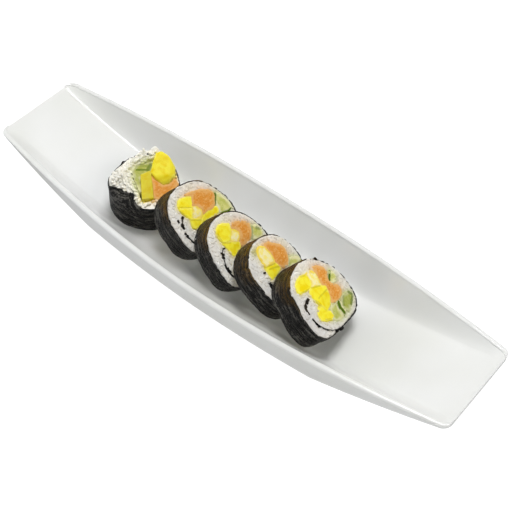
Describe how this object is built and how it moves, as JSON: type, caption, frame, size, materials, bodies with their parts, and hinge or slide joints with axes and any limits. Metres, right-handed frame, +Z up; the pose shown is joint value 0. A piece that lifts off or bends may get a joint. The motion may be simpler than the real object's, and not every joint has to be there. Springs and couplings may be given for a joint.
{
  "type": "maki sushi roll slices on a boat-shaped plate",
  "caption": "Sliced thick maki roll with rice, salmon, pickled radish, omelette and cucumber, leaning in a row on a long boat-shaped porcelain plate.",
  "frame": {"origin": "centre of the plate's foot, on the table", "axes": "+X along the plate, towards the end that the cut faces look to; +Y across the plate, towards the empty side; +Z up"},
  "size_m": [0.35, 0.0964, 0.0497],
  "materials": {
    "glaze": "smooth white porcelain glaze",
    "nori": "dark pressed seaweed sheet, slightly damp and wrinkled, dark olive in the light",
    "rice": "cooked white sushi rice, moist separate grains",
    "radish": "moist yellow pickled radish",
    "omelette": "soft pale yellow omelette",
    "salmon": "moist orange-pink salmon with fine pale fibres",
    "cucumber": "moist pale green cucumber flesh with dark green skin"
  },
  "bodies": {
    "root": {"plate": "glaze", "roll1_cucumber": "cucumber", "roll1_nori": "nori", "roll1_radish_chunk": "radish", "roll1_radish_slab": "radish", "roll1_rice": "rice", "roll1_salmon": "salmon", "roll2_cucumber": "cucumber", "roll2_nori": "nori", "roll2_omelette": "omelette", "roll2_radish_a": "radish", "roll2_radish_b": "radish", "roll2_radish_c": "radish", "roll2_rice": "rice", "roll2_salmon": "salmon", "roll3_cucumber": "cucumber", "roll3_nori": "nori", "roll3_omelette": "omelette", "roll3_radish_a": "radish", "roll3_radish_b": "radish", "roll3_rice": "rice", "roll3_salmon": "salmon", "roll4_cucumber": "cucumber", "roll4_nori": "nori", "roll4_omelette": "omelette", "roll4_radish": "radish", "roll4_rice": "rice", "roll4_salmon": "salmon", "roll5_cucumber_a": "cucumber", "roll5_cucumber_b": "cucumber", "roll5_cucumber_c": "cucumber", "roll5_cucumber_d": "cucumber", "roll5_nori": "nori", "roll5_omelette": "omelette", "roll5_radish_a": "radish", "roll5_radish_b": "radish", "roll5_radish_c": "radish", "roll5_rice": "rice", "roll5_salmon": "salmon"}
  },
  "joints": []
}
